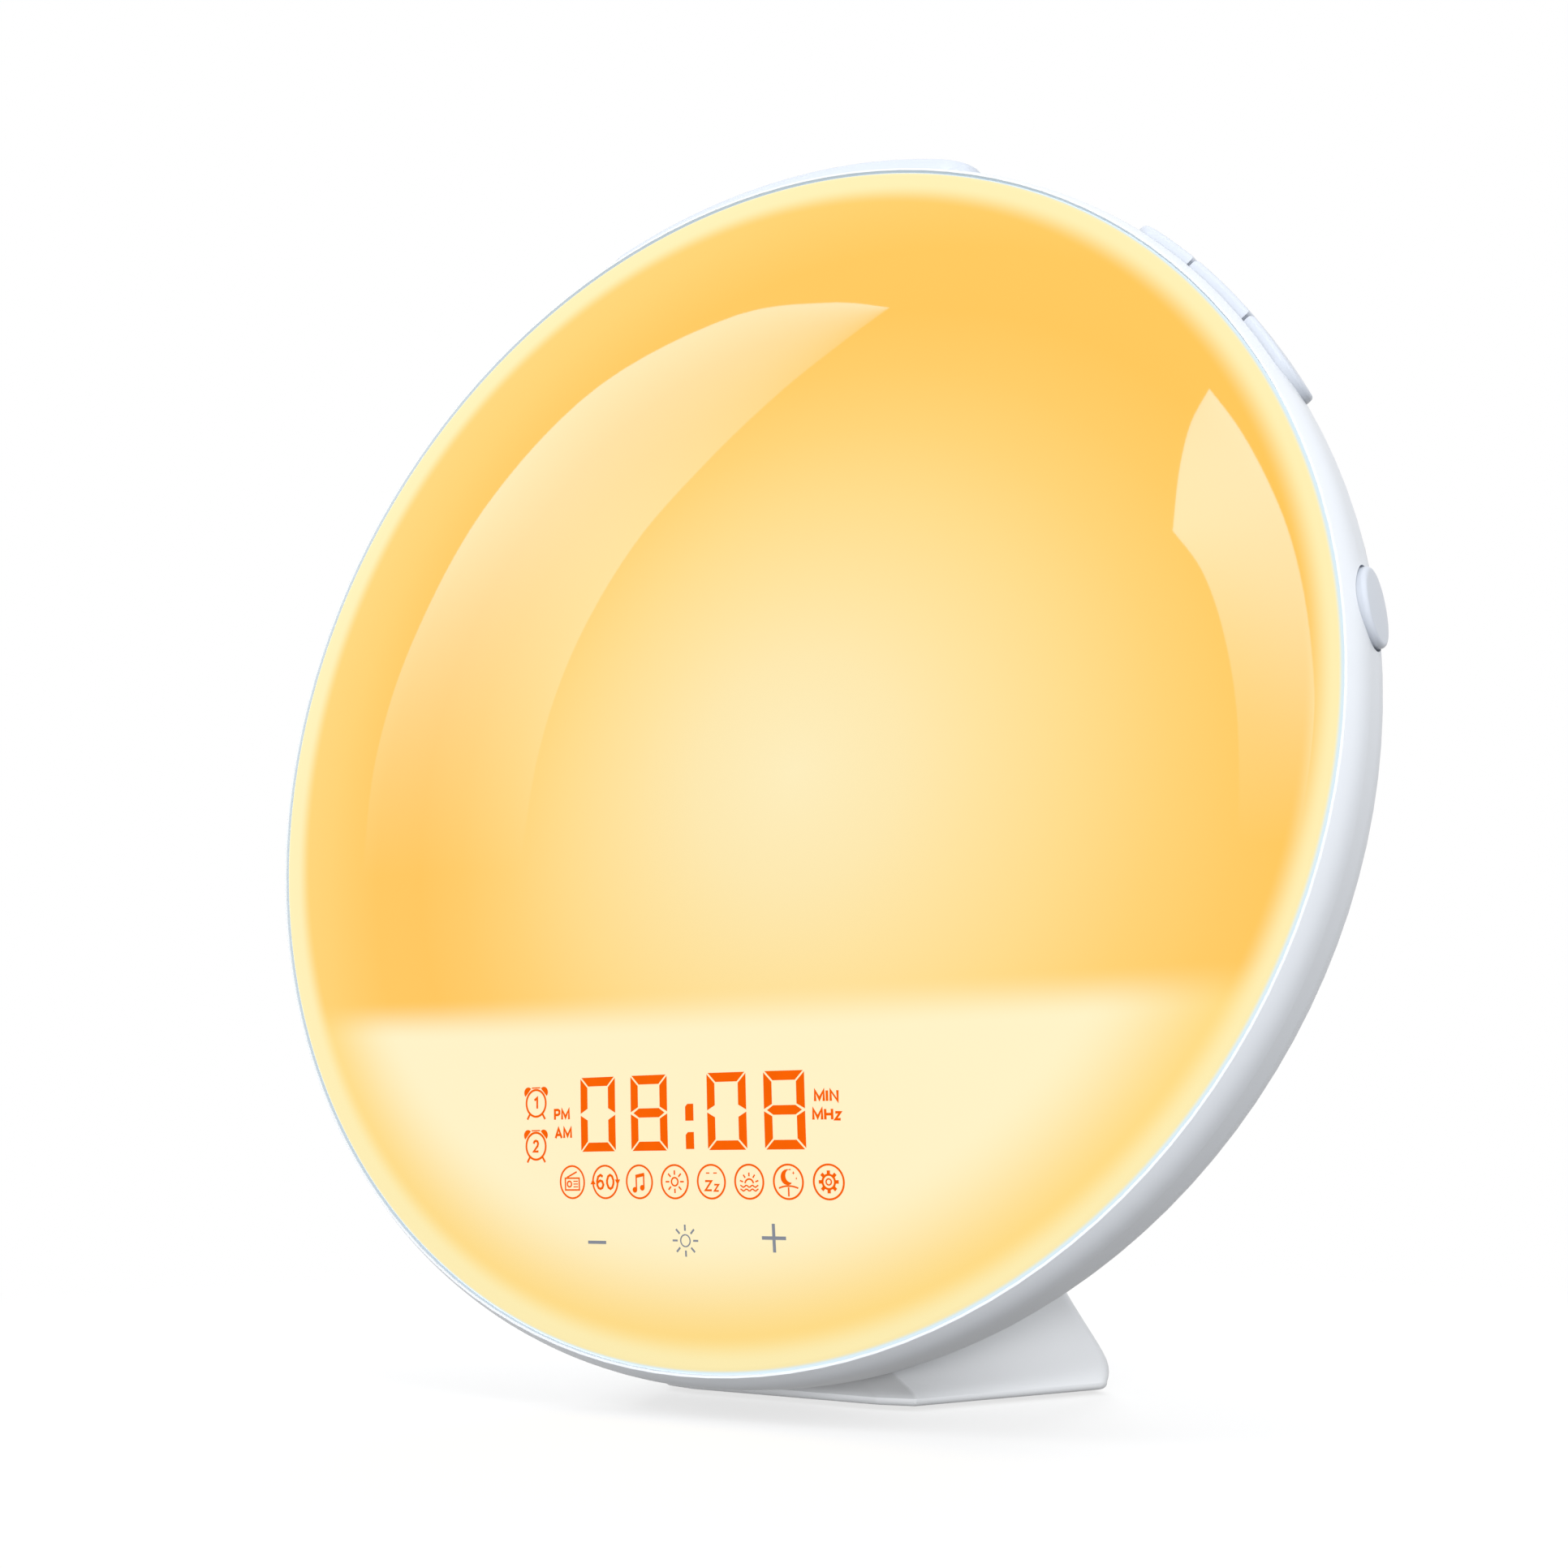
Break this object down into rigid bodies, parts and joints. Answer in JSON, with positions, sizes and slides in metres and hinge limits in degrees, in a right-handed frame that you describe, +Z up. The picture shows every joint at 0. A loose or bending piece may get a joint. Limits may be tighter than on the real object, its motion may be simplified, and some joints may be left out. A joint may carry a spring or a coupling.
{
  "type": "sunrise alarm clock",
  "caption": "Round domed sunrise alarm clock leaning back on a small flared foot, with an opal light, side and top keys, rear speaker pod and working innards.",
  "frame": {"origin": "middle of the clock's footprint, on the surface it stands on", "axes": "+Z up, the lit face looks towards -Y, +X to the right of someone who looks at the face"},
  "size_m": [0.1736, 0.091, 0.1767],
  "materials": {
    "opal_dome": "satin opal, lit from inside",
    "housing": "fine satin",
    "key_plastic": "satin",
    "grille": "satin",
    "base_plastic": "matt",
    "pads": "matt",
    "screw_steel": "zinc plated",
    "tray_white": "matt white",
    "lamp_board": "white solder mask",
    "warm_led": "clear over phosphor",
    "colour_led": "clear",
    "circuit_board": "solder mask",
    "digit_block": "matt white",
    "digit_led": "clear",
    "film": "matt diffusing film",
    "spring_wire": "bright",
    "chip_black": "matt",
    "can_metal": "satin",
    "holder_black": "matt",
    "cell_steel": "bright",
    "jack_black": "matt",
    "usb_steel": "bright",
    "basket_steel": "black",
    "cone_paper": "treated paper",
    "surround_rubber": "satin",
    "spider_fabric": "varnished cloth",
    "ferrite": "matt ferrite",
    "plated_steel": "zinc plated",
    "coil_metal": "copper winding",
    "gasket_foam": "foam",
    "switch_black": "matt",
    "plunger_plastic": "satin"
  },
  "bodies": {
    "clock": {"diffuser_dome": "opal_dome", "front_ring": "housing", "rear_cover": "housing", "stand": "housing", "speaker_grille": "grille", "stand_base": "base_plastic", "rubber_feet": "pads", "case_screws": "screw_steel", "stand_screws": "screw_steel", "base_screws": "screw_steel", "board_screws": "screw_steel", "reflector_tray": "tray_white", "light_partition": "tray_white", "led_board": "lamp_board", "warm_leds": "warm_led", "colour_leds": "colour_led", "display_board": "circuit_board", "digit_reflector": "digit_block", "digit_leds": "digit_led", "display_film": "film", "touch_springs": "spring_wire", "main_board": "circuit_board", "main_chips": "chip_black", "capacitors": "can_metal", "cell_holder": "holder_black", "backup_cell": "cell_steel", "socket_board": "circuit_board", "dc_jack": "jack_black", "usb_socket": "usb_steel", "speaker_frame": "basket_steel", "speaker_cone": "cone_paper", "speaker_surround": "surround_rubber", "speaker_dust_cap": "cone_paper", "speaker_spider": "spider_fabric", "speaker_magnet": "ferrite", "speaker_yoke": "plated_steel", "speaker_top_plate": "plated_steel", "voice_coil": "coil_metal", "speaker_gasket": "gasket_foam", "key_boards": "circuit_board", "key_switches": "switch_black"},
    "right_key_top": {"right_key_top": "key_plastic", "right_plunger_top": "plunger_plastic"},
    "right_key_middle": {"right_key_middle": "key_plastic", "right_plunger_middle": "plunger_plastic"},
    "right_key_low": {"right_key_low": "key_plastic", "right_plunger_low": "plunger_plastic"},
    "left_key_top": {"left_key_top": "key_plastic", "left_plunger_top": "plunger_plastic"},
    "left_key_middle": {"left_key_middle": "key_plastic", "left_plunger_middle": "plunger_plastic"},
    "left_key_low": {"left_key_low": "key_plastic", "left_plunger_low": "plunger_plastic"},
    "right_oval_key": {"right_oval_key": "key_plastic", "right_oval_plunger": "plunger_plastic"},
    "left_oval_key": {"left_oval_key": "key_plastic", "left_oval_plunger": "plunger_plastic"},
    "snooze_key": {"snooze_key": "key_plastic", "snooze_plunger": "plunger_plastic"}
  },
  "joints": [
    {"name": "right_key_top_press", "type": "slide", "parent": "clock", "child": "right_key_top", "axis": [-0.8007, -0.0626, -0.5957], "range_m": [0, 0.0005], "stiffness_N_per_m": 2500},
    {"name": "right_key_middle_press", "type": "slide", "parent": "clock", "child": "right_key_middle", "axis": [-0.8007, -0.0626, -0.5957], "range_m": [0, 0.0005], "stiffness_N_per_m": 2500},
    {"name": "right_key_low_press", "type": "slide", "parent": "clock", "child": "right_key_low", "axis": [-0.8007, -0.0626, -0.5957], "range_m": [0, 0.0005], "stiffness_N_per_m": 2500},
    {"name": "left_key_top_press", "type": "slide", "parent": "clock", "child": "left_key_top", "axis": [0.8007, -0.0626, -0.5957], "range_m": [0, 0.0005], "stiffness_N_per_m": 2500},
    {"name": "left_key_middle_press", "type": "slide", "parent": "clock", "child": "left_key_middle", "axis": [0.8007, -0.0626, -0.5957], "range_m": [0, 0.0005], "stiffness_N_per_m": 2500},
    {"name": "left_key_low_press", "type": "slide", "parent": "clock", "child": "left_key_low", "axis": [0.8007, -0.0626, -0.5957], "range_m": [0, 0.0005], "stiffness_N_per_m": 2500},
    {"name": "right_oval_key_press", "type": "slide", "parent": "clock", "child": "right_oval_key", "axis": [-0.9962, -0.0091, -0.0867], "range_m": [0, 0.0005], "stiffness_N_per_m": 2500},
    {"name": "left_oval_key_press", "type": "slide", "parent": "clock", "child": "left_oval_key", "axis": [0.9962, -0.0091, -0.0867], "range_m": [0, 0.0005], "stiffness_N_per_m": 2500},
    {"name": "snooze_key_press", "type": "slide", "parent": "clock", "child": "snooze_key", "axis": [0, -0.1045, -0.9945], "range_m": [0, 0.0005], "stiffness_N_per_m": 4000}
  ]
}
